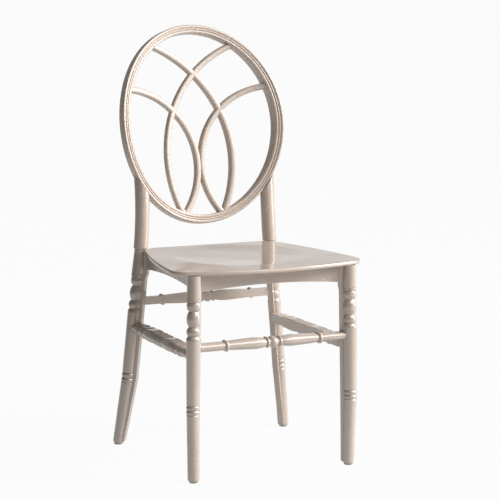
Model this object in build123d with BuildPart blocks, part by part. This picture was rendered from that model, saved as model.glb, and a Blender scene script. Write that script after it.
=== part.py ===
from build123d import *
import os
from math import atan2, cos, radians, sin, sqrt, tan

# Wedding chair with an oval tracery back, in millimetres.
# The chair faces -Y, stands on z = 0 and is centred on the origin.

# Fit between pieces
joint_gap = 0.2

# Stance of the legs, measured from the front feet; each leg bends a little at its double ring
front_foot_half_spacing = 184.2
front_ring_half_spacing = 186.3
front_ring_forward = 2.3
front_head_half_spacing = 182.3
front_head_back = 1.7
rear_foot_half_spacing = 208.8
rear_foot_back = 373.5
rear_ring_half_spacing = 189.6
rear_ring_back = 358.8
rear_head_half_spacing = 159.8
rear_head_back = 353.0
rear_head_drop = 1.0

# Seat panel
seat_height = 450.0
seat_thickness = 9.0
seat_edge_round = 3.6
seat_nose = 34.0
seat_corner_half_width = 225.0
seat_corner_back = 9.0
seat_corner_round = 40.0
seat_side_half_width = 202.0
seat_rear_half_width = 156.0
seat_rear_back = 346.0
seat_rear_round = 9.0
seat_dish_radius = 150.0
seat_dish_depth = 2.5
post_notch_gap = 1.5

# Turned legs
foot_radius = 12.8
foot_tip_radius = 9.0
foot_tip_length = 7.0
ankle_radius = 14.1
ring_height = 157.0
ring_length = 9.5
ring_radius = 14.8
ring_groove_radius = 13.0
ring_core_radius = 12.3
ring_step = 1.5
bend_overlap = 3.0
calf_radius = 14.3
shaft_radius = 15.6
head_length = 55.0
head_low_radius = 15.4
head_top_radius = 14.0
head_groove_radius = 13.0
crest_radius = 15.2
neck_radius = 10.4
low_neck_radius = 12.0
upper_bead_length = 20.0
egg_length = 33.0
lower_bead_length = 19.0
shoulder_length = 11.0
band_count = 2
band_pitch = 3.2
band_depth = 0.7
leg_overrun = 12.0

# Plain rib down the inner corner of every leg
rib_width = 13.0
rib_low = 6.0
rib_toe = 4.0
rib_foot_reach = 15.5
rib_ring_reach = 21.2
rib_reach = 22.0
rib_head_reach = 24.5
rib_head_rise = 12.0

# Seat rails under the panel
apron_inset = 10.0
apron_thickness = 16.0
apron_end_height = 40.0
apron_mid_height = 29.5

# Corner blocks, leg bolts and seat screws
block_height = 26.0
block_leg = 42.0
bolt_radius = 3.0
bolt_head_radius = 6.0
bolt_head_height = 4.0
bolt_tip_from_axis = 5.0
insert_radius = 4.6
insert_length = 15.0
seat_screw_radius = 2.0
seat_screw_head_radius = 4.2
seat_screw_head_height = 3.0
seat_screw_bite = 6.0
seat_screw_spread = 10.0
seat_screw_from_corner = 17.0

# Foot glides
glide_thickness = 3.0
glide_radius = 9.4
glide_round = 1.0
glide_pin_radius = 3.0
glide_pin_length = 9.0

# Stretchers, turned outside and flat inside, hung below the seat's underside
front_stretcher_drop = 154.2
rear_stretcher_drop = 111.0
side_stretcher_drop = 171.0
rod_radius = 8.6
tenon_radius = 6.0
tenon_from_axis = 4.0
cross_strip_reach = 12.0
side_strip_reach = 20.0
ball_radius = 11.8
ball_neck_radius = 8.0
collar_width = 6.0
collar_radius = 11.4
collar_gap = 3.0
swell_radius = 11.7
swell_centre = 44.0
swell_neck_radius = 8.4
end_bead_centre = 110.0
end_bead_width = 8.5
end_bead_radius = 12.0
side_shift = 6.0
side_ring_count = 3
side_ring_width = 16.5
side_ring_radius = 13.0
side_neck_radius = 11.2
side_vase_radius = 13.3
side_bead_centre = 93.0
side_bead_width = 14.0
side_bead_radius = 12.6
side_rod_radius = 10.0
side_collar_centre = 122.0
side_collar_width = 8.0
side_collar_radius = 12.2

# Back: posts, oval hoop and the tracery inside it
post_radius = 16.3
post_foot_round = 1.5
post_waist_half_spacing = 155.6
post_waist_back = 353.5
post_waist_rise = 71.0
post_top_half_spacing = 155.0
post_top_back = 362.0
post_top_rise = 168.0
spigot_radius = 9.0
spigot_length = 38.0
lock_screw_height = 24.0
lock_screw_radius = 2.0
lock_screw_head_radius = 4.0
lock_screw_head_height = 3.0
lock_screw_length = 15.0
back_recline = 11.3
back_curve_radius = 501.0
hoop_centre_rise = 267.4
hoop_centre_back = 410.4
hoop_half_width = 197.4
hoop_half_height = 226.8
hoop_face = 19.5
hoop_depth = 27.5
hoop_edge_round = 4.0
hoop_groove_width = 1.6
hoop_groove_depth = 1.6
hoop_outer_reed = 7.2
hoop_inner_reed = 7.0
bar_width = 14.2
bar_depth = 18.2
bar_front_setback = 4.5
bar_round = 5.6
long_arc_centre_across = 195.5
long_arc_centre_drop = 79.0
long_arc_radius = 275.2
short_arc_centre_across = 177.2
short_arc_centre_drop = 92.6
short_arc_radius = 172.4
dowel_radius = 4.0
dowel_length = 22.0
dowel_drop = 140.0

# Places worked out from the sizes above
recline = radians(back_recline)
hoop_lean = hoop_half_height * sin(recline) + hoop_depth / 2 * cos(recline)
rear_reach = hoop_centre_back + hoop_lean - hoop_edge_round * (sin(recline) + cos(recline) - 1)
front_leg_y = (seat_nose - rear_reach) / 2
seat_underside = seat_height - seat_thickness
rear_head_height = seat_height - rear_head_drop
head_low = seat_underside - head_length
hoop_centre_height = seat_height + hoop_centre_rise
rail_height = seat_underside - apron_mid_height / 2
block_low = seat_underside - block_height
bolt_height = seat_underside - block_height / 2
sides = {"left": -1, "right": 1}
up = Vector(0, 0, 1)

os.makedirs("parts", exist_ok=True)


def save(part, name):
    part.label = name
    export_step(part, f"parts/{name}.step")


def leg_station(end, side, name):
    """A leg's axis at its foot, at its double ring, or at the top of the rear legs."""
    if end == "front":
        places = {
            "foot": (front_foot_half_spacing, 0, 0),
            "ring": (front_ring_half_spacing, -front_ring_forward, ring_height),
            "head": (front_head_half_spacing, front_head_back, rear_head_height),
        }
    else:
        places = {
            "foot": (rear_foot_half_spacing, rear_foot_back, 0),
            "ring": (rear_ring_half_spacing, rear_ring_back, ring_height),
            "head": (rear_head_half_spacing, rear_head_back, rear_head_height),
        }
    across, back, height = places[name]
    return Vector(side * across, front_leg_y + back, height)


def leg_point(end, side, height):
    """The point of a leg's axis at a height above the floor."""
    low, high = ("foot", "ring") if height < ring_height else ("ring", "head")
    start = leg_station(end, side, low)
    finish = leg_station(end, side, high)
    return start + (finish - start) * ((height - start.Z) / (finish.Z - start.Z))


# Plan of the seat rails: lines between the leg axes, offset inwards
rail_front = leg_point("front", 1, rail_height)
rail_rear = leg_point("rear", 1, rail_height)
rail_taper = atan2(rail_front.X - rail_rear.X, rail_rear.Y - rail_front.Y)


def rail_corner(end, side, inset):
    """Corner of the rails' plan, on the mitre line of a leg."""
    if end == "front":
        across = rail_front.X - inset * (tan(rail_taper) + 1 / cos(rail_taper))
        return Vector(side * across, rail_front.Y + inset, 0)
    across = rail_rear.X + inset * (tan(rail_taper) - 1 / cos(rail_taper))
    return Vector(side * across, rail_rear.Y - inset, 0)


def mitre_direction(end, side):
    """Horizontal direction from a leg's axis to the inner corner of the rails."""
    inner = rail_corner(end, side, apron_inset + apron_thickness)
    outer = rail_corner(end, side, 0)
    return (inner - outer).normalized()


def leg_plane(end, side, low, high):
    """Plane through part of a leg's axis: x towards its inner rib, y up the axis from floor level."""
    start = leg_station(end, side, low)
    axis = (leg_station(end, side, high) - start).normalized()
    inward = mitre_direction(end, side)
    inward = inward - axis * inward.dot(axis)
    return Plane(origin=start - axis * start.Z, x_dir=inward, z_dir=inward.cross(axis))


def lower_half(plane, extra):
    """Half section of a leg below the middle of its double ring, grown by extra."""
    with BuildSketch(plane) as section:
        with BuildLine():
            shin = Polyline(
                (0, -leg_overrun),
                (foot_tip_radius + extra, -leg_overrun),
                (foot_tip_radius + extra, 0),
                (foot_radius + extra, foot_tip_length),
                (ankle_radius + extra, ring_height - ring_length - ring_step),
                (ring_groove_radius + extra, ring_height - ring_length),
            )
            ring = ThreePointArc(
                shin @ 1,
                (ring_radius + extra, ring_height - ring_length / 2),
                (ring_groove_radius + extra, ring_height),
            )
            Polyline(
                ring @ 1,
                (ring_core_radius + extra, ring_height),
                (ring_core_radius + extra, ring_height + bend_overlap),
                (0, ring_height + bend_overlap),
                (0, -leg_overrun),
            )
        make_face()
    return section.sketch


def upper_half(plane, extra):
    """Half section of a leg above the middle of its double ring, grown by extra."""
    neck_one = head_low - upper_bead_length
    neck_two = neck_one - egg_length
    neck_three = neck_two - lower_bead_length
    shaft_top = neck_three - shoulder_length
    shoulder_bulge = shaft_radius - 0.2 * (shaft_radius - low_neck_radius)
    leg_top = rear_head_height + leg_overrun
    with BuildSketch(plane) as section:
        with BuildLine():
            core = Polyline(
                (0, ring_height - bend_overlap),
                (ring_core_radius + extra, ring_height - bend_overlap),
                (ring_core_radius + extra, ring_height),
                (ring_groove_radius + extra, ring_height),
            )
            ring = ThreePointArc(
                core @ 1,
                (ring_radius + extra, ring_height + ring_length / 2),
                (ring_groove_radius + extra, ring_height + ring_length),
            )
            shaft = Polyline(
                ring @ 1,
                (calf_radius + extra, ring_height + ring_length + ring_step),
                (shaft_radius + extra, shaft_top),
            )
            shoulder = ThreePointArc(
                shaft @ 1,
                (shoulder_bulge + extra, shaft_top + 0.6 * shoulder_length),
                (low_neck_radius + extra, neck_three),
            )
            lower_bead = ThreePointArc(
                shoulder @ 1,
                (crest_radius + extra, (neck_two + neck_three) / 2),
                (neck_radius + extra, neck_two),
            )
            egg = ThreePointArc(
                lower_bead @ 1,
                (crest_radius + extra, (neck_one + neck_two) / 2),
                (neck_radius + extra, neck_one),
            )
            upper_bead = ThreePointArc(
                egg @ 1,
                (crest_radius + extra, neck_one + 0.6 * upper_bead_length),
                (head_groove_radius + extra, head_low),
            )
            head_points = [upper_bead @ 1, (head_low_radius + extra, head_low + band_pitch / 4)]
            for band in range(band_count):
                middle = head_low + band_pitch * (band + 1)
                head_points.append((head_low_radius + extra, middle - band_depth))
                head_points.append((head_low_radius - band_depth + extra, middle))
                head_points.append((head_low_radius + extra, middle + band_depth))
            head_points.append((head_top_radius + extra, seat_underside))
            head_points.append((head_top_radius + extra, leg_top))
            head_points.append((0, leg_top))
            head_points.append((0, ring_height - bend_overlap))
            Polyline(*head_points)
        make_face()
    return section.sketch


def rib_side(end, side, extra):
    """Side view of a leg's inner rib on the line from foot to head, grown by extra at its edge."""
    plane = leg_plane(end, side, "foot", "head")
    foot = leg_station(end, side, "foot")
    head = leg_station(end, side, "head")
    straight = foot + (head - foot) * (ring_height / rear_head_height)
    bend = (leg_station(end, side, "ring") - straight).dot(plane.x_dir)
    leg_top = rear_head_height + leg_overrun
    with BuildSketch(plane) as section:
        with BuildLine():
            Polyline(
                (0, rib_low - extra),
                (rib_foot_reach - rib_toe + extra, rib_low - extra),
                (rib_foot_reach + extra, rib_low + rib_toe),
                (rib_ring_reach + bend + extra, ring_height),
                (rib_reach + extra, head_low),
                (rib_head_reach + extra, head_low + rib_head_rise),
                (rib_head_reach + extra, leg_top),
                (0, leg_top),
                close=True,
            )
        make_face()
    return section.sketch


def leg_shape(end, side, extra):
    """Turn a leg's two straight lengths, grown by extra."""
    for low, high, half in (("foot", "ring", lower_half), ("ring", "head", upper_half)):
        plane = leg_plane(end, side, low, high)
        revolve(half(plane, extra), axis=Axis(plane.origin, plane.y_dir))


def leg_envelope(end, side):
    """A leg's outside grown by the joint gap, which scribes the pieces that meet it."""
    with BuildPart() as envelope:
        extrude(rib_side(end, side, joint_gap), amount=rib_width / 2 + joint_gap, both=True)
        leg_shape(end, side, joint_gap)
    return envelope.part


def bore(start, direction, radius, depth):
    """Cut a round hole from a point along a direction."""
    with Locations(Plane(origin=start, z_dir=direction)):
        Cylinder(radius, depth, align=(Align.CENTER, Align.CENTER, Align.MIN), mode=Mode.SUBTRACT)


def pin(start, direction, radius, length):
    """Add a round pin from a point along a direction."""
    with Locations(Plane(origin=start, z_dir=direction)):
        Cylinder(radius, length, align=(Align.CENTER, Align.CENTER, Align.MIN))


def post_path(side):
    """The bent centre line of a post, from the rear leg's head into the hoop."""
    waist_height = rear_head_height + post_waist_rise
    top_height = rear_head_height + post_top_rise
    waist = Vector(side * post_waist_half_spacing, front_leg_y + post_waist_back, waist_height)
    top = Vector(side * post_top_half_spacing, front_leg_y + post_top_back, top_height)
    return Edge.make_three_point_arc(leg_station("rear", side, "head"), waist, top)


def post_base(side):
    return leg_station("rear", side, "head")


def post_axis(side):
    return (post_path(side) % 0).normalized()


def lock_screw_start(side):
    """Where a lock screw's head meets the back of a post."""
    axis = post_axis(side)
    rearward = Vector(0, 1, 0) - axis * axis.Y
    return post_base(side) + axis * lock_screw_height + rearward.normalized() * post_radius


def lock_screw_direction(side):
    axis = post_axis(side)
    return (axis * axis.Y - Vector(0, 1, 0)).normalized()


def stretcher_ends(end, side, other_end, other_side, height):
    return leg_point(end, side, height), leg_point(other_end, other_side, height)


# Each stretcher by name: the two legs that it joins and its height
stretchers = {
    "front_stretcher": ("front", -1, "front", 1, seat_underside - front_stretcher_drop),
    "rear_stretcher": ("rear", -1, "rear", 1, seat_underside - rear_stretcher_drop),
    "left_stretcher": ("front", -1, "rear", -1, seat_underside - side_stretcher_drop),
    "right_stretcher": ("front", 1, "rear", 1, seat_underside - side_stretcher_drop),
}
corners = [(end, word) for end in ("front", "rear") for word in sides]
envelopes = {(end, sides[word]): leg_envelope(end, sides[word]) for end, word in corners}


# Legs
def make_leg(end, word):
    side = sides[word]
    top = seat_underside if end == "front" else rear_head_height
    inward = mitre_direction(end, side)
    with BuildPart() as leg:
        extrude(rib_side(end, side, 0), amount=rib_width / 2, both=True)
        split(bisect_by=Plane.XY.offset(seat_underside), keep=Keep.BOTTOM)
        leg_shape(end, side, 0)
        split(bisect_by=Plane.XY.offset(top), keep=Keep.BOTTOM)
        split(bisect_by=Plane.XY.offset(glide_thickness), keep=Keep.TOP)
        if end == "rear":
            axis = post_axis(side)
            pin(post_base(side) - axis * spigot_radius, axis, spigot_radius, spigot_radius + spigot_length)
            bore(lock_screw_start(side), lock_screw_direction(side),
                 lock_screw_radius + joint_gap, lock_screw_length + joint_gap)
        for legs in stretchers.values():
            first, second = stretcher_ends(*legs)
            if (end, side) == legs[0:2]:
                start, toward = first, (second - first).normalized()
            elif (end, side) == legs[2:4]:
                start, toward = second, (first - second).normalized()
            else:
                continue
            bore(start + toward * (tenon_from_axis - joint_gap), toward,
                 tenon_radius + joint_gap, rib_head_reach + leg_overrun)
        bolt_axis = leg_point(end, side, bolt_height)
        bore(bolt_axis + inward * (bolt_tip_from_axis - joint_gap), inward,
             insert_radius + joint_gap, rib_head_reach + leg_overrun)
        bore(leg_point(end, side, glide_thickness), up,
             glide_pin_radius + joint_gap, glide_pin_length + joint_gap)
    save(leg.part, f"{end}_{word}_leg")


for end, word in corners:
    make_leg(end, word)


# Foot glides
def make_glide(end, word):
    base = leg_point(end, sides[word], glide_thickness)
    with BuildPart() as glide:
        with Locations(Vector(base.X, base.Y, 0)):
            Cylinder(glide_radius, glide_thickness, align=(Align.CENTER, Align.CENTER, Align.MIN))
        fillet(glide.edges().group_by(Axis.Z)[0], glide_round)
        pin_start = Vector(base.X, base.Y, glide_thickness / 2)
        pin(pin_start, up, glide_pin_radius, glide_thickness / 2 + glide_pin_length)
    save(glide.part, f"{end}_{word}_glide")


for end, word in corners:
    make_glide(end, word)


# Stretchers
def cross_outline(half_length):
    """Radius along half of a front or rear stretcher, from its centre ball outwards."""
    ball_end = sqrt(ball_radius**2 - ball_neck_radius**2)
    collar_start = ball_end + collar_gap
    collar_end = collar_start + collar_width
    bead_start = end_bead_centre - end_bead_width / 2
    bead_end = end_bead_centre + end_bead_width / 2
    rise_radius = swell_neck_radius + 0.75 * (swell_radius - swell_neck_radius)
    fall_radius = rod_radius + 0.62 * (swell_radius - rod_radius)
    with BuildSketch(Plane.XY) as half:
        with BuildLine():
            ball = ThreePointArc(
                (0, ball_radius),
                (ball_radius * sin(radians(25)), ball_radius * cos(radians(25))),
                (ball_end, ball_neck_radius),
            )
            neck = Line(ball @ 1, (collar_start, ball_neck_radius))
            collar = ThreePointArc(
                neck @ 1,
                ((collar_start + collar_end) / 2, collar_radius),
                (collar_end, swell_neck_radius),
            )
            rise = ThreePointArc(
                collar @ 1,
                ((collar_end + swell_centre) / 2, rise_radius),
                (swell_centre, swell_radius),
            )
            fall = ThreePointArc(
                rise @ 1,
                ((swell_centre + bead_start) / 2, fall_radius),
                (bead_start, rod_radius),
            )
            bead = ThreePointArc(fall @ 1, (end_bead_centre, end_bead_radius), (bead_end, rod_radius))
            Polyline(bead @ 1, (half_length, rod_radius), (half_length, 0), (0, 0), (0, ball_radius))
        make_face()
    return half.sketch


def side_outline(before, after):
    """Radius along a side stretcher, from the front leg's axis to the rear leg's axis."""
    rings_half = side_ring_count * side_ring_width / 2
    bead_in = side_bead_centre - side_bead_width / 2
    bead_out = side_bead_centre + side_bead_width / 2
    collar_in = side_collar_centre - side_collar_width / 2
    collar_out = side_collar_centre + side_collar_width / 2
    vase_crest = (rings_half + bead_in) / 2
    with BuildSketch(Plane.XY) as whole:
        with BuildLine():
            line = Polyline((-before, 0), (-before, side_rod_radius), (-collar_out, side_rod_radius))
            turned = [
                (-side_collar_centre, side_collar_radius, -collar_in, side_rod_radius),
                (-side_bead_centre, side_bead_radius, -bead_in, side_neck_radius),
                (-vase_crest, side_vase_radius, -rings_half, side_neck_radius),
            ]
            for ring in range(side_ring_count):
                middle = -rings_half + (ring + 0.5) * side_ring_width
                turned.append((middle, side_ring_radius, middle + side_ring_width / 2, side_neck_radius))
            turned.append((vase_crest, side_vase_radius, bead_in, side_neck_radius))
            turned.append((side_bead_centre, side_bead_radius, bead_out, side_rod_radius))
            turned.append((side_collar_centre, side_collar_radius, collar_out, side_rod_radius))
            for crest, crest_height, finish, finish_height in turned:
                start = line @ 1
                if start.X < crest - (finish - crest) - joint_gap:
                    line = Line(start, (2 * crest - finish, side_rod_radius))
                line = ThreePointArc(line @ 1, (crest, crest_height), (finish, finish_height))
            Polyline(line @ 1, (after, side_rod_radius), (after, 0), (-before, 0))
        make_face()
    return whole.sketch


def make_stretcher(name, legs):
    first, second = stretcher_ends(*legs)
    along = (second - first).normalized()
    length = (second - first).length
    if legs[0] == legs[2]:
        reach = cross_strip_reach
        centre = (first + second) * 0.5
        halves = [cross_outline(length / 2)]
        halves.append(mirror(halves[0], Plane.YZ))
    else:
        reach = side_strip_reach
        before = length / 2 + side_shift
        centre = first + along * before
        halves = [side_outline(before, length - before)]
    place = Plane(origin=centre, x_dir=along, z_dir=along.cross(up))
    inner = 1 if place.z_dir.dot(Vector(centre.X, centre.Y, 0)) < 0 else -1
    with BuildPart() as stretcher:
        for half in halves:
            revolve(place * half, axis=Axis(centre, along * -inner), revolution_arc=180)
            extrude(place * half, amount=inner * reach)
            extrude(place * mirror(half, Plane.XZ), amount=inner * reach)
        for end, side in (legs[0:2], legs[2:4]):
            leg_axis = leg_point(end, side, legs[4])
            mitre = mitre_direction(end, side).cross(up)
            if mitre.dot(centre - leg_axis) < 0:
                mitre = mitre * -1
            split(bisect_by=Plane(origin=leg_axis, z_dir=mitre), keep=Keep.TOP)
            add(envelopes[(end, side)], mode=Mode.SUBTRACT)
        pin(first + along * tenon_from_axis, along, tenon_radius, length - 2 * tenon_from_axis)
    save(stretcher.part, name)


for name, legs in stretchers.items():
    make_stretcher(name, legs)


# Seat rails, arched along their lower edges
def make_apron(name, first, second):
    outer = [rail_corner(*first, apron_inset), rail_corner(*second, apron_inset)]
    inner_inset = apron_inset + apron_thickness
    inner = [rail_corner(*second, inner_inset), rail_corner(*first, inner_inset)]
    ends = [rail_corner(*first, 0), rail_corner(*second, 0)]
    along = (ends[1] - ends[0]).normalized()
    half_length = (ends[1] - ends[0]).length / 2
    low_end = seat_underside - apron_end_height
    low_middle = seat_underside - apron_mid_height
    side_view = Plane(origin=(ends[0] + ends[1]) * 0.5, x_dir=along, z_dir=along.cross(up))
    with BuildPart() as apron:
        with BuildSketch(Plane.XY.offset(low_end)):
            with BuildLine():
                Polyline(*outer, *inner, close=True)
            make_face()
        extrude(amount=apron_end_height)
        with BuildSketch(side_view):
            with BuildLine():
                arch = ThreePointArc((-half_length, low_end), (0, low_middle), (half_length, low_end))
                Line(arch @ 1, arch @ 0)
            make_face()
        extrude(amount=inner_inset + apron_thickness, both=True, mode=Mode.SUBTRACT)
        for end, side in (first, second):
            add(envelopes[(end, side)], mode=Mode.SUBTRACT)
            inward = mitre_direction(end, side)
            bore(leg_point(end, side, bolt_height), inward, bolt_radius + joint_gap,
                 rib_head_reach + inner_inset + apron_thickness)
    save(apron.part, name)


make_apron("front_apron", ("front", -1), ("front", 1))
make_apron("rear_apron", ("rear", 1), ("rear", -1))
make_apron("left_apron", ("rear", -1), ("front", -1))
make_apron("right_apron", ("front", 1), ("rear", 1))


# Corner blocks inside the rails
def block_frame(end, side):
    """Inner corner of the rails, the directions along them, and the block's depth on the mitre."""
    inset = apron_inset + apron_thickness
    corner = rail_corner(end, side, inset)
    across = (rail_corner(end, -side, inset) - corner).normalized()
    other = "rear" if end == "front" else "front"
    lengthwise = (rail_corner(other, side, inset) - corner).normalized()
    depth = ((across + lengthwise) * (block_leg / 2)).dot(mitre_direction(end, side))
    return corner, across, lengthwise, depth


def seat_screw_points(end, side):
    corner, across, lengthwise, depth = block_frame(end, side)
    sideways = (across - lengthwise).normalized()
    middle = corner + mitre_direction(end, side) * seat_screw_from_corner
    return [middle + sideways * seat_screw_spread, middle - sideways * seat_screw_spread]


def make_block(end, word):
    side = sides[word]
    corner, across, lengthwise, depth = block_frame(end, side)
    with BuildPart() as block:
        with BuildSketch(Plane.XY.offset(block_low)):
            with BuildLine():
                Polyline(corner, corner + across * block_leg, corner + lengthwise * block_leg, close=True)
            make_face()
        extrude(amount=block_height)
        bore(leg_point(end, side, bolt_height), mitre_direction(end, side), bolt_radius + joint_gap,
             rib_head_reach + block_leg * 2)
        for point in seat_screw_points(end, side):
            bore(point + up * block_low, up, seat_screw_radius + joint_gap, block_height)
    save(block.part, f"{end}_{word}_corner_block")


for end, word in corners:
    make_block(end, word)

# Leg bolts, with the threaded inserts that they pull on
with BuildPart() as leg_bolts:
    for end, word in corners:
        side = sides[word]
        inward = mitre_direction(end, side)
        corner, across, lengthwise, depth = block_frame(end, side)
        axis_point = leg_point(end, side, bolt_height)
        reach = (corner + up * bolt_height - axis_point).dot(inward) + depth
        pin(axis_point + inward * bolt_tip_from_axis, inward, bolt_radius, reach - bolt_tip_from_axis)
        pin(axis_point + inward * reach, inward, bolt_head_radius, bolt_head_height)
save(leg_bolts.part, "leg_bolts")

with BuildPart() as leg_inserts:
    for end, word in corners:
        inward = mitre_direction(end, sides[word])
        start = leg_point(end, sides[word], bolt_height) + inward * bolt_tip_from_axis
        pin(start, inward, insert_radius, insert_length)
        bore(start, inward, bolt_radius + joint_gap, insert_length)
save(leg_inserts.part, "leg_inserts")

# Screws from the corner blocks up into the seat
with BuildPart() as seat_screws:
    for end, word in corners:
        for point in seat_screw_points(end, sides[word]):
            pin(point + up * block_low, up, seat_screw_radius, block_height + seat_screw_bite)
            head_start = point + up * (block_low - seat_screw_head_height)
            pin(head_start, up, seat_screw_head_radius, seat_screw_head_height)
save(seat_screws.part, "seat_screws")

# Seat panel: bowed front, drawn-in sides, notched round the posts, with a shallow dish
seat_front_y = front_leg_y - seat_nose
seat_corner = Vector(seat_corner_half_width, front_leg_y + seat_corner_back)
seat_rear = Vector(seat_rear_half_width, front_leg_y + seat_rear_back)
seat_side = Vector(seat_side_half_width, (seat_corner.Y + seat_rear.Y) / 2)
dish_sphere = (seat_dish_radius**2 + seat_dish_depth**2) / (2 * seat_dish_depth)
with BuildPart() as seat_panel:
    with BuildSketch(Plane.XY.offset(seat_underside)) as seat_plan:
        with BuildLine():
            ThreePointArc((-seat_corner.X, seat_corner.Y), (0, seat_front_y), seat_corner)
            ThreePointArc(seat_corner, seat_side, seat_rear)
            Line(seat_rear, (-seat_rear.X, seat_rear.Y))
            ThreePointArc(
                (-seat_rear.X, seat_rear.Y),
                (-seat_side.X, seat_side.Y),
                (-seat_corner.X, seat_corner.Y),
            )
        make_face()
        fillet(seat_plan.vertices().group_by(Axis.Y)[0], seat_corner_round)
        with Locations(*[(post_base(side).X, post_base(side).Y) for side in sides.values()]):
            Circle(post_radius + post_notch_gap, mode=Mode.SUBTRACT)
        notch_low = seat_rear.Y - 2 * post_radius
        notch_corners = seat_plan.vertices().filter_by_position(Axis.Y, notch_low, seat_rear.Y)
        fillet(notch_corners, seat_rear_round)
    extrude(amount=seat_thickness)
    fillet(seat_panel.faces().group_by(Axis.Z)[-1].edges(), seat_edge_round)
    fillet(seat_panel.faces().group_by(Axis.Z)[0].edges(), seat_edge_round)
    with Locations((0, (seat_corner.Y + seat_rear.Y) / 2, seat_height + dish_sphere - seat_dish_depth)):
        Sphere(dish_sphere, mode=Mode.SUBTRACT)
    for end, word in corners:
        for point in seat_screw_points(end, sides[word]):
            start = point + up * seat_underside
            bore(start, up, seat_screw_radius + joint_gap, seat_screw_bite + joint_gap)
save(seat_panel.part, "seat_panel")

# The back's own planes: its face, and its cross section seen from above
hoop_centre = Vector(0, front_leg_y + hoop_centre_back, hoop_centre_height)
face_normal = Vector(0, -cos(recline), sin(recline))
face_up = Vector(0, sin(recline), cos(recline))
back_face = Plane(origin=hoop_centre, x_dir=(1, 0, 0), z_dir=face_normal)
back_section = Plane(origin=hoop_centre, x_dir=(1, 0, 0), z_dir=face_up)
face_reach = hoop_depth + back_curve_radius - sqrt(back_curve_radius**2 - hoop_half_width**2)


def curved_slab(front, rear):
    """Slab that follows the back's curve, between two offsets behind its middle surface."""
    with BuildPart() as slab:
        with BuildSketch(back_section):
            with Locations((0, -back_curve_radius)):
                Circle(back_curve_radius + rear)
                Circle(back_curve_radius + front, mode=Mode.SUBTRACT)
        extrude(amount=hoop_half_height + hoop_depth, both=True)
    return slab.part


def oval_ring(outer_inset, inner_inset):
    """Ring between two insets of the hoop's oval, drawn straight through the back."""
    with BuildPart() as ring:
        with BuildSketch(back_face):
            Ellipse(hoop_half_width - outer_inset, hoop_half_height - outer_inset)
            Ellipse(hoop_half_width - inner_inset, hoop_half_height - inner_inset, mode=Mode.SUBTRACT)
        extrude(amount=face_reach, both=True)
    return ring.part


def dowel_place(side):
    """Where a dowel crosses from post to hoop, and its direction out of the hoop."""
    across = hoop_half_width * sqrt(1 - (dowel_drop / hoop_half_height) ** 2)
    forward = back_curve_radius - sqrt(back_curve_radius**2 - across**2)
    point = hoop_centre + Vector(side * across, 0, 0) - face_up * dowel_drop + face_normal * forward
    slope = side * across / hoop_half_width**2
    outward = Vector(slope, 0, 0) - face_up * (dowel_drop / hoop_half_height**2)
    return point, outward.normalized()


hoop_front = -hoop_depth / 2
hoop_slab = curved_slab(hoop_front, hoop_depth / 2)
groove_slab = curved_slab(hoop_front - hoop_groove_depth, hoop_front + hoop_groove_depth)
hoop_ring = oval_ring(0, hoop_face)
groove_rings = [
    oval_ring(hoop_outer_reed, hoop_outer_reed + hoop_groove_width),
    oval_ring(hoop_face - hoop_inner_reed - hoop_groove_width, hoop_face - hoop_inner_reed),
]
grooves = [ring & groove_slab for ring in groove_rings]

# Oval hoop with a reeded front
with BuildPart() as back_hoop:
    add(hoop_ring)
    add(hoop_slab, mode=Mode.INTERSECT)
    fillet(back_hoop.edges(), hoop_edge_round)
    for groove in grooves:
        add(groove, mode=Mode.SUBTRACT)
    for side in sides.values():
        point, outward = dowel_place(side)
        bore(point + outward * dowel_radius, -outward,
             dowel_radius + joint_gap, dowel_length / 2 + dowel_radius + joint_gap)
save(back_hoop.part, "back_hoop")

# Tracery of four rounded bars: a long arc and the short one that crosses it, and their mirror images
bar_front = hoop_front + bar_front_setback
bar_slab = curved_slab(bar_front, bar_front + bar_depth)


def tracery_bar(across, drop, radius):
    with BuildPart() as bar:
        with BuildSketch(back_face):
            with Locations((across, -drop)):
                Circle(radius + bar_width / 2)
                Circle(radius - bar_width / 2, mode=Mode.SUBTRACT)
            inset = hoop_face + joint_gap
            Ellipse(hoop_half_width - inset, hoop_half_height - inset, mode=Mode.INTERSECT)
        extrude(amount=face_reach, both=True)
        add(bar_slab, mode=Mode.INTERSECT)
        long_edges = []
        for depth in (bar_front, bar_front + bar_depth):
            cylinders = bar.faces().filter_by(GeomType.CYLINDER)
            face = cylinders.sort_by(lambda item: abs(item.radius - back_curve_radius - depth))[0]
            long_edges.extend(face.edges().sort_by(SortBy.LENGTH)[-2:])
        fillet(long_edges, bar_round)
    return bar.part


with BuildPart() as tracery:
    add(tracery_bar(-long_arc_centre_across, long_arc_centre_drop, long_arc_radius))
    add(tracery_bar(short_arc_centre_across, short_arc_centre_drop, short_arc_radius))
    mirror(about=Plane.YZ)
save(tracery.part, "tracery")

# Posts between the rear legs and the hoop, scribed to the hoop's outer edge
with BuildPart() as hoop_blank:
    with BuildSketch(back_face):
        Ellipse(hoop_half_width + joint_gap, hoop_half_height + joint_gap)
    extrude(amount=face_reach * 2, both=True)


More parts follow.
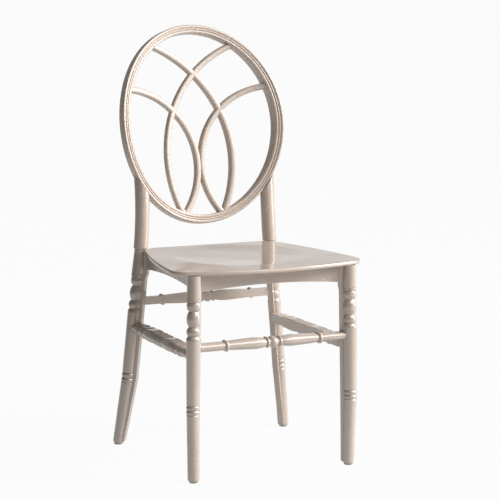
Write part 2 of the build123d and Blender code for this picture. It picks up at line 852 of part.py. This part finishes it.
def make_post(word):
    side = sides[word]
    base = post_base(side)
    axis = post_axis(side)
    path = post_path(side)
    with BuildPart() as post:
        with BuildSketch(Plane(origin=base, z_dir=axis)):
            Circle(post_radius)
        sweep(path=path)
        pin(base - axis * post_radius, axis, post_radius, post_radius)
        split(bisect_by=Plane.XY.offset(rear_head_height), keep=Keep.TOP)
        fillet(post.edges().group_by(Axis.Z)[0], post_foot_round)
        add(hoop_blank.part, mode=Mode.SUBTRACT)
        spigot_start = base - axis * spigot_radius
        bore(spigot_start, axis, spigot_radius + joint_gap, spigot_radius + spigot_length + joint_gap)
        screw_start = lock_screw_start(side)
        screw_way = lock_screw_direction(side)
        bore(screw_start - screw_way * post_radius, screw_way,
             lock_screw_head_radius + joint_gap, post_radius + lock_screw_head_height)
        bore(screw_start, screw_way, lock_screw_radius + joint_gap, lock_screw_length + joint_gap)
        point, outward = dowel_place(side)
        bore(point - outward * dowel_radius, outward,
             dowel_radius + joint_gap, dowel_length / 2 + dowel_radius + joint_gap)
    save(post.part, f"{word}_post")


for word in sides:
    make_post(word)

with BuildPart() as lock_screws:
    for side in sides.values():
        start = lock_screw_start(side)
        way = lock_screw_direction(side)
        pin(start, way, lock_screw_head_radius, lock_screw_head_height)
        shank = lock_screw_length - lock_screw_head_height
        pin(start + way * lock_screw_head_height, way, lock_screw_radius, shank)
save(lock_screws.part, "lock_screws")

with BuildPart() as hoop_dowels:
    for side in sides.values():
        point, outward = dowel_place(side)
        pin(point - outward * (dowel_length / 2), outward, dowel_radius, dowel_length)
save(hoop_dowels.part, "hoop_dowels")
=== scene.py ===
from math import cos, radians, sin, sqrt

import bmesh
import bpy
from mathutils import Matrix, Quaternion, Vector


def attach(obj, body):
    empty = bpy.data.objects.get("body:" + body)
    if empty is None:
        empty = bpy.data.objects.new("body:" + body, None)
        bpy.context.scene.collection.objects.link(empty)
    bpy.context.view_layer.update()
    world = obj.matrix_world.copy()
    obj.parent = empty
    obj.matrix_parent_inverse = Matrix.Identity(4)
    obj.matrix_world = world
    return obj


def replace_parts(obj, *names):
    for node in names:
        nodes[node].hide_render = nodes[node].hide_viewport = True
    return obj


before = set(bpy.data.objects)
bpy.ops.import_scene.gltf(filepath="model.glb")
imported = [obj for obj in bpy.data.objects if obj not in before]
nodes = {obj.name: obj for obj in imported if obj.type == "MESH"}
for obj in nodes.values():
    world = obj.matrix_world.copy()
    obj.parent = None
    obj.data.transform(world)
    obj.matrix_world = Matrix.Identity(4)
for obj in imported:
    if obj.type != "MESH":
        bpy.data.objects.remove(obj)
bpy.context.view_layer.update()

# Camera, fitted to the photograph; metres and degrees
view_target = Vector((0, -0.0990, 0.4681))
view_azimuth = -25.14
view_elevation = 8.60
view_roll = 0.246
view_distance = 4.2224
view_lens = 140.4
sensor_width = 36

# Back, in metres, as in the solids
back_recline = 11.3
back_centre = Vector((0, 0.19359, 0.7174))
face_normal = Vector((0, -cos(radians(back_recline)), sin(radians(back_recline))))
face_up = Vector((0, sin(radians(back_recline)), cos(radians(back_recline))))
back_curve_radius = 0.501
hoop_half_width = 0.1974
hoop_half_height = 0.2268
hoop_face = 0.0195
hoop_depth = 0.0275
hoop_edge_round = 0.004
outer_reed = 0.0072
groove_depth = 0.0018
groove_floor = 0.0006
hoop_steps = 288
reed_steps = 6
bar_width = 0.0142
bar_depth = 0.0182
bar_setback = 0.0045
bar_round = 0.0056
bar_bite = 0.006
bar_steps = 480
bar_round_steps = 8
long_arc = (0.1955, 0.0790, 0.2752)
short_arc = (0.1772, 0.0926, 0.1724)

# Colours, linear
champagne_light = (0.58, 0.49, 0.42, 1)
champagne_deep = (0.54, 0.45, 0.385, 1)
block_light = (0.52, 0.45, 0.38, 1)
block_deep = (0.48, 0.41, 0.34, 1)
glide_light = (0.42, 0.37, 0.32, 1)
glide_deep = (0.38, 0.33, 0.28, 1)
dowel_light = (0.52, 0.45, 0.38, 1)
dowel_deep = (0.48, 0.41, 0.34, 1)
steel_light = (0.62, 0.62, 0.64, 1)
steel_deep = (0.58, 0.58, 0.60, 1)
brass_light = (0.74, 0.58, 0.30, 1)
brass_deep = (0.70, 0.54, 0.26, 1)
sheet_colour = (0.5, 0.5, 0.5, 1)
room_colour = (0.15, 0.15, 0.15, 1)

# Sheet, in metres: where its white starts and stops to fade, and the shares of shadow and of white far away
white_aside = (2.0, 3.6)
white_front = (-2.2, -4)
white_rise = (0.95, 2.2)
shadow_share = 0.05
far_share = 0.25
sheet_shift = 0.5
sheet_reach = 40
cove_start = 6
cove_radius = 1
backdrop_height = 5

# Lamps, in metres, degrees and watts; the sun in watts per square metre
sun_side = Vector((0.76, -0.38, 0.53))
sun_strength = 2.2
sun_spread = 26
softboxes = {
    "softbox_right": {"place": (2.6, -1.35, 1.3), "width": 1.1, "height": 2.2, "power": 44},
    "softbox_top": {"place": (1.5, -2.1, 2.4), "width": 3.0, "height": 2.0, "power": 68},
}

# Texture scales, in features per metre
flow_scale = 6
wave_scale = 11
gloss_scale = 45
peel_scale = 300
grain_scale = 900

# Surface relief: strengths, and heights in metres
skin_strength = 0.01
skin_height = 0.0002
grain_strength = 0.1
grain_height = 0.00005
seat_wave_height = 0.001
gloss_level = 0.9


def new_material(name):
    material = bpy.data.materials.new(name)
    material.use_nodes = True
    shader = material.node_tree.nodes["Principled BSDF"]
    return material, material.node_tree.nodes, material.node_tree.links, shader


def noise(graph, links, place, scale, detail):
    texture = graph.new("ShaderNodeTexNoise")
    texture.inputs["Scale"].default_value = scale
    texture.inputs["Detail"].default_value = detail
    links.new(place.outputs["Object"], texture.inputs["Vector"])
    return texture.outputs["Fac"]


def two_tones(graph, links, factor, first, second):
    ramp = graph.new("ShaderNodeValToRGB")
    ramp.color_ramp.elements[0].position = 0.35
    ramp.color_ramp.elements[0].color = first
    ramp.color_ramp.elements[1].position = 0.65
    ramp.color_ramp.elements[1].color = second
    links.new(factor, ramp.inputs["Fac"])
    return ramp.outputs["Color"]


def spread(graph, links, factor, low, high):
    """Stretch the middle of a noise over a range of values."""
    stretch = graph.new("ShaderNodeMapRange")
    stretch.inputs["From Min"].default_value = 0.3
    stretch.inputs["From Max"].default_value = 0.7
    stretch.inputs["To Min"].default_value = low
    stretch.inputs["To Max"].default_value = high
    links.new(factor, stretch.inputs["Value"])
    return stretch.outputs["Result"]


def bump(graph, links, factor, strength, height):
    relief = graph.new("ShaderNodeBump")
    relief.inputs["Strength"].default_value = strength
    relief.inputs["Distance"].default_value = height
    links.new(factor, relief.inputs["Height"])
    return relief


def moulding(name, tones, roughness, metallic, wave_height=0):
    """Moulded plastic: flow marks, uneven gloss, a faintly rippled skin and, where asked, a slight wave."""
    material, graph, links, shader = new_material(name)
    place = graph.new("ShaderNodeTexCoord")
    flow = noise(graph, links, place, flow_scale, 4)
    gloss = noise(graph, links, place, gloss_scale, 3)
    peel = noise(graph, links, place, peel_scale, 2)
    links.new(two_tones(graph, links, flow, *tones), shader.inputs["Base Color"])
    links.new(spread(graph, links, gloss, *roughness), shader.inputs["Roughness"])
    skin = bump(graph, links, peel, skin_strength, skin_height)
    links.new(skin.outputs["Normal"], shader.inputs["Normal"])
    if wave_height > 0:
        wave = noise(graph, links, place, wave_scale, 0)
        links.new(bump(graph, links, wave, 1, wave_height).outputs["Normal"], skin.inputs["Normal"])
    shader.inputs["Metallic"].default_value = metallic
    shader.inputs["Specular IOR Level"].default_value = gloss_level
    return material


def fastener_metal(name, tones, roughness):
    """Machined metal with a fine grain."""
    material, graph, links, shader = new_material(name)
    place = graph.new("ShaderNodeTexCoord")
    wear = noise(graph, links, place, gloss_scale, 4)
    grain = noise(graph, links, place, grain_scale, 2)
    links.new(two_tones(graph, links, wear, *tones), shader.inputs["Base Color"])
    links.new(spread(graph, links, wear, *roughness), shader.inputs["Roughness"])
    relief = bump(graph, links, grain, grain_strength, grain_height)
    links.new(relief.outputs["Normal"], shader.inputs["Normal"])
    shader.inputs["Metallic"].default_value = 1
    return material


def dress(names, material):
    for name in names:
        nodes[name].data.materials.clear()
        nodes[name].data.materials.append(material)


champagne = (champagne_deep, champagne_light)
pearl = moulding("pearl_plastic", champagne, (0.22, 0.29), 0.12)
pearl_back = moulding("pearl_back", champagne, (0.34, 0.42), 0.12)
dress([name for name in nodes if name.endswith(("_post", "_apron"))], pearl)
turned = [name for name in nodes if name.endswith(("_leg", "_stretcher"))]
dress(turned, moulding("pearl_turning", champagne, (0.11, 0.17), 0.12))
dress(["seat_panel"], moulding("pearl_seat", champagne, (0.07, 0.11), 0.1, seat_wave_height))
blocks = [name for name in nodes if name.endswith("_corner_block")]
glides = [name for name in nodes if name.endswith("_glide")]
dress(blocks, moulding("block_plastic", (block_deep, block_light), (0.45, 0.6), 0))
dress(glides, moulding("glide_plastic", (glide_deep, glide_light), (0.5, 0.65), 0))
dress(["hoop_dowels"], moulding("dowel_plastic", (dowel_deep, dowel_light), (0.5, 0.6), 0))
screws = ["leg_bolts", "seat_screws", "lock_screws"]
dress(screws, fastener_metal("screw_steel", (steel_deep, steel_light), (0.28, 0.42)))
dress(["leg_inserts"], fastener_metal("insert_brass", (brass_deep, brass_light), (0.25, 0.4)))


# Back: hoop with three rounded reeds, and the bars inside it, on the solids' own curves
def back_point(across, rise, depth):
    """A point of the back: across and up its face, and behind its middle surface, in metres."""
    behind = sqrt((back_curve_radius + depth) ** 2 - across**2) - back_curve_radius
    return back_centre + Vector((across, 0, 0)) + face_up * rise - face_normal * behind


def quarter(centre, radii, start, steps):
    """A quarter of an ellipse, as points from one angle in degrees to the next right angle."""
    turns = [radians(start + 90 * k / steps) for k in range(steps + 1)]
    return [(centre[0] + radii[0] * cos(turn), centre[1] + radii[1] * sin(turn)) for turn in turns]


def swept_piece(name, tubes, closed):
    """One smooth piece from rows of rings of points."""
    corners = []
    faces = []
    for rings in tubes:
        start = len(corners)
        around = len(rings[0])
        for ring in rings:
            corners.extend(ring)
        for k in range(len(rings) if closed else len(rings) - 1):
            for j in range(around):
                here = start + k * around
                there = start + (k + 1) % len(rings) * around
                beside = (j + 1) % around
                faces.append((here + j, here + beside, there + beside, there + j))
        if not closed:
            faces.append(tuple(range(start, start + around)))
            faces.append(tuple(range(start + (len(rings) - 1) * around, start + len(rings) * around)))
    mesh = bpy.data.meshes.new(name)
    mesh.from_pydata(corners, [], faces)
    shape = bmesh.new()
    shape.from_mesh(mesh)
    bmesh.ops.recalc_face_normals(shape, faces=shape.faces)
    shape.to_mesh(mesh)
    shape.free()
    mesh.polygons.foreach_set("use_smooth", [True] * len(mesh.polygons))
    mesh.materials.append(pearl_back)
    piece = bpy.data.objects.new(name, mesh)
    bpy.context.scene.collection.objects.link(piece)
    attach(piece, "root")
    return piece


crown = hoop_edge_round
inner_crown = hoop_face - hoop_edge_round
reed_shoulder = outer_reed - crown
middle = hoop_face / 2
rear_corner = hoop_depth - hoop_edge_round
corner = (hoop_edge_round, hoop_edge_round)
bead = (middle - outer_reed - groove_floor, groove_depth)
shoulder = (reed_shoulder, groove_depth)
hoop_profile = quarter((crown, crown), corner, 180, reed_steps)
hoop_profile += quarter((crown, groove_depth), shoulder, 270, reed_steps)[1:]
hoop_profile += quarter((middle, groove_depth), bead, 180, reed_steps)
hoop_profile += quarter((middle, groove_depth), bead, 270, reed_steps)[1:]
hoop_profile += quarter((inner_crown, groove_depth), shoulder, 180, reed_steps)
hoop_profile += quarter((inner_crown, crown), corner, 270, reed_steps)[1:]
hoop_profile += quarter((inner_crown, rear_corner), corner, 0, reed_steps)
hoop_profile += quarter((crown, rear_corner), corner, 90, reed_steps)
hoop_rings = []
for step in range(hoop_steps):
    turn = radians(360 * step / hoop_steps)
    ring = []
    for inset, depth in hoop_profile:
        across = (hoop_half_width - inset) * cos(turn)
        ring.append(back_point(across, (hoop_half_height - inset) * sin(turn), depth - hoop_depth / 2))
    hoop_rings.append(ring)
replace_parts(swept_piece("reeded_hoop", [hoop_rings], True), "back_hoop")

side_run = bar_width / 2 - bar_round
deep_run = bar_depth - bar_round
rounding = (bar_round, bar_round)
bar_profile = quarter((side_run, bar_round), rounding, 270, bar_round_steps)
bar_profile += quarter((side_run, deep_run), rounding, 0, bar_round_steps)
bar_profile += quarter((-side_run, deep_run), rounding, 90, bar_round_steps)
bar_profile += quarter((-side_run, bar_round), rounding, 180, bar_round_steps)
bar_front = bar_setback - hoop_depth / 2
bar_reach = hoop_half_width - hoop_face + bar_bite
bar_rise = bar_reach + hoop_half_height - hoop_half_width
bars = []
for centre_across, centre_drop, radius in (long_arc, short_arc):
    for side in (-1, 1):
        rings = []
        for step in range(bar_steps):
            turn = radians(90 - 90 * side + 360 * step / bar_steps)
            across = side * centre_across + radius * cos(turn)
            rise = radius * sin(turn) - centre_drop
            if (across / bar_reach) ** 2 + (rise / bar_rise) ** 2 > 1:
                continue
            ring = []
            for offset, depth in bar_profile:
                along = side * centre_across + (radius + offset) * cos(turn)
                ring.append(back_point(along, (radius + offset) * sin(turn) - centre_drop, bar_front + depth))
            rings.append(ring)
        bars.append(rings)
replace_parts(swept_piece("tracery_bars", bars, False), "tracery")


# Stage: one pale sheet, floor and backdrop, turned to the camera and white round the chair and behind it
def fade(graph, links, value, start, end):
    """Factor that goes from 1 at one place to the far share of white at another."""
    ramp = graph.new("ShaderNodeMapRange")
    ramp.inputs["From Min"].default_value = start
    ramp.inputs["From Max"].default_value = end
    ramp.inputs["To Min"].default_value = 1
    ramp.inputs["To Max"].default_value = far_share
    links.new(value, ramp.inputs["Value"])
    return ramp.outputs["Result"]


def join(graph, links, operation, first, second):
    step = graph.new("ShaderNodeMath")
    step.operation = operation
    links.new(first, step.inputs[0])
    links.new(second, step.inputs[1])
    return step.outputs["Value"]


def white_sheet(name):
    """White to the eye and in reflections near the chair, but for a share that takes light and shadow;
    farther out the glow fades to a grey share, so the white round the chair is a painted pool of light.
    """
    material = bpy.data.materials.new(name)
    material.use_nodes = True
    graph = material.node_tree.nodes
    links = material.node_tree.links
    graph.clear()
    path = graph.new("ShaderNodeLightPath")
    seen = join(graph, links, "MAXIMUM", path.outputs["Is Camera Ray"], path.outputs["Is Glossy Ray"])
    seen = join(graph, links, "MAXIMUM", seen, path.outputs["Is Transmission Ray"])
    place = graph.new("ShaderNodeTexCoord")
    parts = graph.new("ShaderNodeSeparateXYZ")
    links.new(place.outputs["Object"], parts.inputs["Vector"])
    aside = graph.new("ShaderNodeMath")
    aside.operation = "ABSOLUTE"
    links.new(parts.outputs["X"], aside.inputs[0])
    # Painted pool of light: the sheet's glow is full near the chair and fades to the far share away from it,
    # to the eye and in reflections.
    near = join(
        graph, links, "MINIMUM",
        fade(graph, links, aside.outputs["Value"], *white_aside),
        fade(graph, links, parts.outputs["Y"], *white_front),
    )
    near = join(graph, links, "MINIMUM", near, fade(graph, links, parts.outputs["Z"], *white_rise))
    white = join(graph, links, "MULTIPLY", seen, near)
    share = graph.new("ShaderNodeMath")
    share.operation = "MULTIPLY"
    share.inputs[1].default_value = 1 - shadow_share
    links.new(white, share.inputs[0])
    paper = graph.new("ShaderNodeBsdfDiffuse")
    paper.inputs["Color"].default_value = sheet_colour
    glow = graph.new("ShaderNodeEmission")
    mix = graph.new("ShaderNodeMixShader")
    links.new(share.outputs["Value"], mix.inputs["Fac"])
    links.new(paper.outputs["BSDF"], mix.inputs[1])
    links.new(glow.outputs["Emission"], mix.inputs[2])
    output = graph.new("ShaderNodeOutputMaterial")
    links.new(mix.outputs["Shader"], output.inputs["Surface"])
    return material


sheet_profile = [(-sheet_reach, 0), (cove_start, 0)]
for turn in range(10, 100, 10):
    run = cove_start + cove_radius * sin(radians(turn))
    sheet_profile.append((run, cove_radius * (1 - cos(radians(turn)))))
sheet_profile.append((cove_start + cove_radius, backdrop_height))
sheet_points = []
for run, rise in sheet_profile:
    sheet_points += [(-sheet_reach, run, rise), (sheet_reach, run, rise)]
sheet_faces = [(2 * k, 2 * k + 1, 2 * k + 3, 2 * k + 2) for k in range(len(sheet_profile) - 1)]
sheet = bpy.data.meshes.new("studio_sheet")
sheet.from_pydata(sheet_points, [], sheet_faces)
sheet.materials.append(white_sheet("sheet_white"))
studio = bpy.data.objects.new("studio_sheet", sheet)
studio.rotation_euler = (0, 0, radians(view_azimuth))
studio.location = (sheet_shift * cos(radians(view_azimuth)), sheet_shift * sin(radians(view_azimuth)), 0)
bpy.context.scene.collection.objects.link(studio)

# Camera
azimuth = radians(view_azimuth)
elevation = radians(view_elevation)
toward_camera = Vector((sin(azimuth) * cos(elevation), -cos(azimuth) * cos(elevation), sin(elevation)))
camera = bpy.data.objects.new("camera", bpy.data.cameras.new("camera"))
bpy.context.scene.collection.objects.link(camera)
camera.data.sensor_width = sensor_width
camera.data.lens = view_lens
camera.location = view_target + toward_camera * view_distance
camera.rotation_mode = "QUATERNION"
level = (-toward_camera).to_track_quat("-Z", "Y")
camera.rotation_quaternion = level @ Quaternion((0, 0, 1), radians(view_roll))
bpy.context.scene.camera = camera


# Light: one soft sun from the upper right, and softboxes for the long highlights
def aim(lamp, place, target):
    lamp.location = place
    lamp.rotation_mode = "QUATERNION"
    lamp.rotation_quaternion = (Vector(target) - Vector(place)).to_track_quat("-Z", "Y")


def softbox(name, place, width, height, power):
    lamp = bpy.data.objects.new(name, bpy.data.lights.new(name, "AREA"))
    lamp.data.shape = "RECTANGLE"
    lamp.data.size = width
    lamp.data.size_y = height
    lamp.data.energy = power
    bpy.context.scene.collection.objects.link(lamp)
    aim(lamp, place, view_target)


sun = bpy.data.objects.new("sun", bpy.data.lights.new("sun", "SUN"))
sun.data.energy = sun_strength
sun.data.angle = radians(sun_spread)
bpy.context.scene.collection.objects.link(sun)
aim(sun, view_target + sun_side, view_target)
for name, values in softboxes.items():
    softbox(name, **values)

world = bpy.data.worlds.new("room")
world.use_nodes = True
world.node_tree.nodes["Background"].inputs["Color"].default_value = room_colour
bpy.context.scene.world = world
bpy.context.scene.view_settings.view_transform = "Standard"
